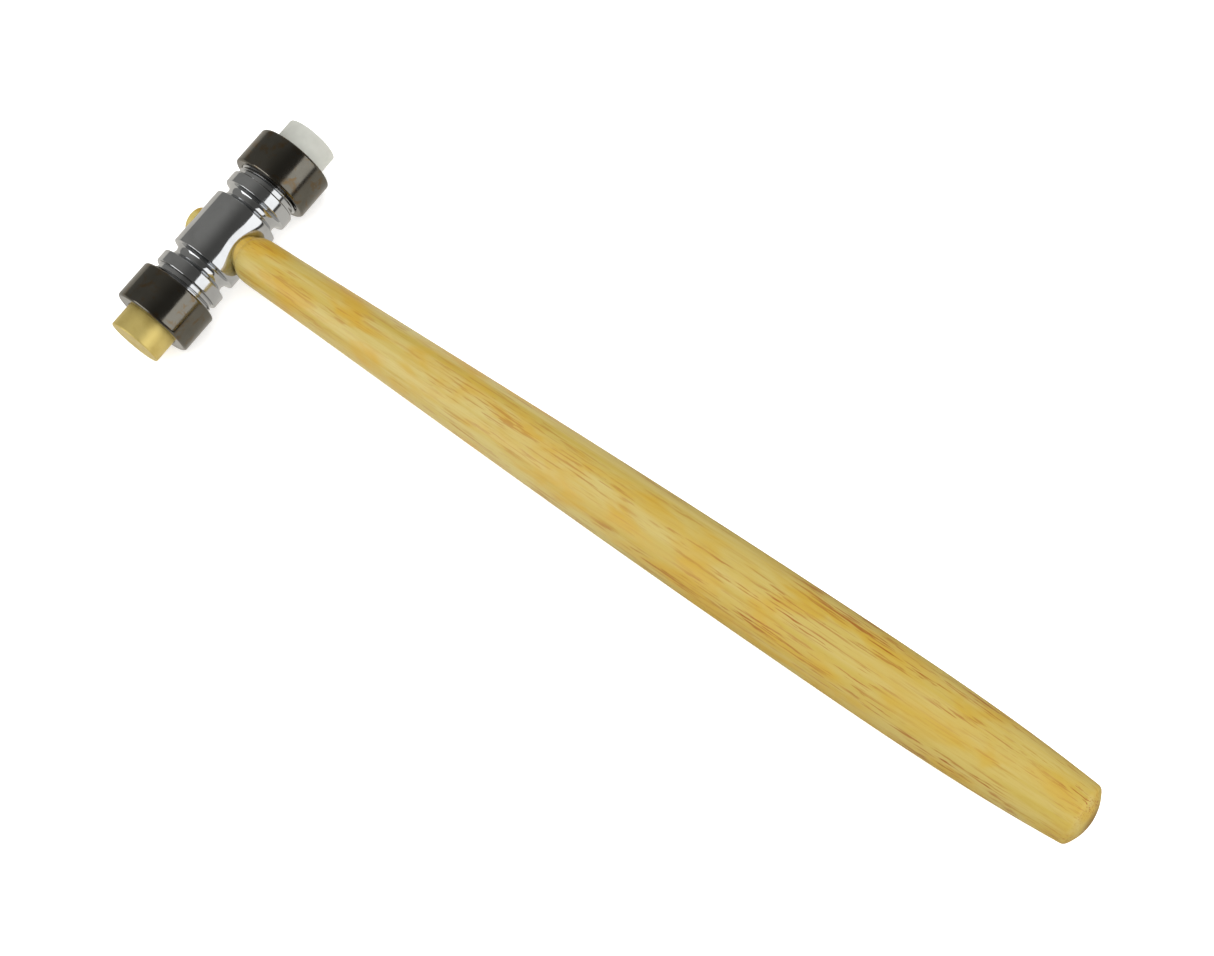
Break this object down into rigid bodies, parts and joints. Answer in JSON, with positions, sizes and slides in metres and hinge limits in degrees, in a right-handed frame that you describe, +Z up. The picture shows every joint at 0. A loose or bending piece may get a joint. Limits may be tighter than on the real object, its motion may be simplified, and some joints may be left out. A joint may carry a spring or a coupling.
{
  "type": "double-faced carving mallet",
  "caption": "Small double-faced mallet with a turned wooden handle, a plated steel head, and screw-on ring caps holding a nylon and a brass striking face.",
  "frame": {"origin": "centre of the brass striking face", "axes": "+Y along the head axis, from the brass face to the nylon face; +X along the handle to its butt; +Z up, with the mallet lying on its side"},
  "size_m": [0.2344, 0.0615, 0.019],
  "materials": {
    "bright_plate": "polished bright plate over steel",
    "lacquered_wood": "pale straight-grained hardwood under clear lacquer",
    "bare_steel": "plain sheared steel",
    "nylon": "milky, slightly translucent, turned",
    "dark_plate": "polished dark nickel plate over steel",
    "brass": "satin turned brass"
  },
  "bodies": {
    "head": {"head_body": "bright_plate", "handle": "lacquered_wood", "handle_wedge": "bare_steel"},
    "nylon_face": {"nylon_face": "nylon"},
    "nylon_cap": {"nylon_cap": "dark_plate"},
    "brass_face": {"brass_face": "brass"},
    "brass_cap": {"brass_cap": "dark_plate"}
  },
  "joints": [
    {"name": "nylon_face_travel", "type": "slide", "parent": "head", "child": "nylon_face", "axis": [0, 1, 0], "range_m": [0, 0.005]},
    {"name": "nylon_cap_unscrew", "type": "hinge", "parent": "nylon_face", "child": "nylon_cap", "pos_m": [0, 0.0615, 0], "axis": [0, 1, 0], "range_deg": [0, 1800.5]},
    {"name": "brass_face_travel", "type": "slide", "parent": "head", "child": "brass_face", "axis": [0, -1, 0], "range_m": [0, 0.005]},
    {"name": "brass_cap_unscrew", "type": "hinge", "parent": "brass_face", "child": "brass_cap", "pos_m": [0, 0, 0], "axis": [0, -1, 0], "range_deg": [0, 1800.5]}
  ],
  "couplings": [
    {"joint": "nylon_cap_unscrew", "follows": "nylon_face_travel", "rad_per_m": 6283.2},
    {"joint": "brass_cap_unscrew", "follows": "brass_face_travel", "rad_per_m": 6283.2}
  ]
}
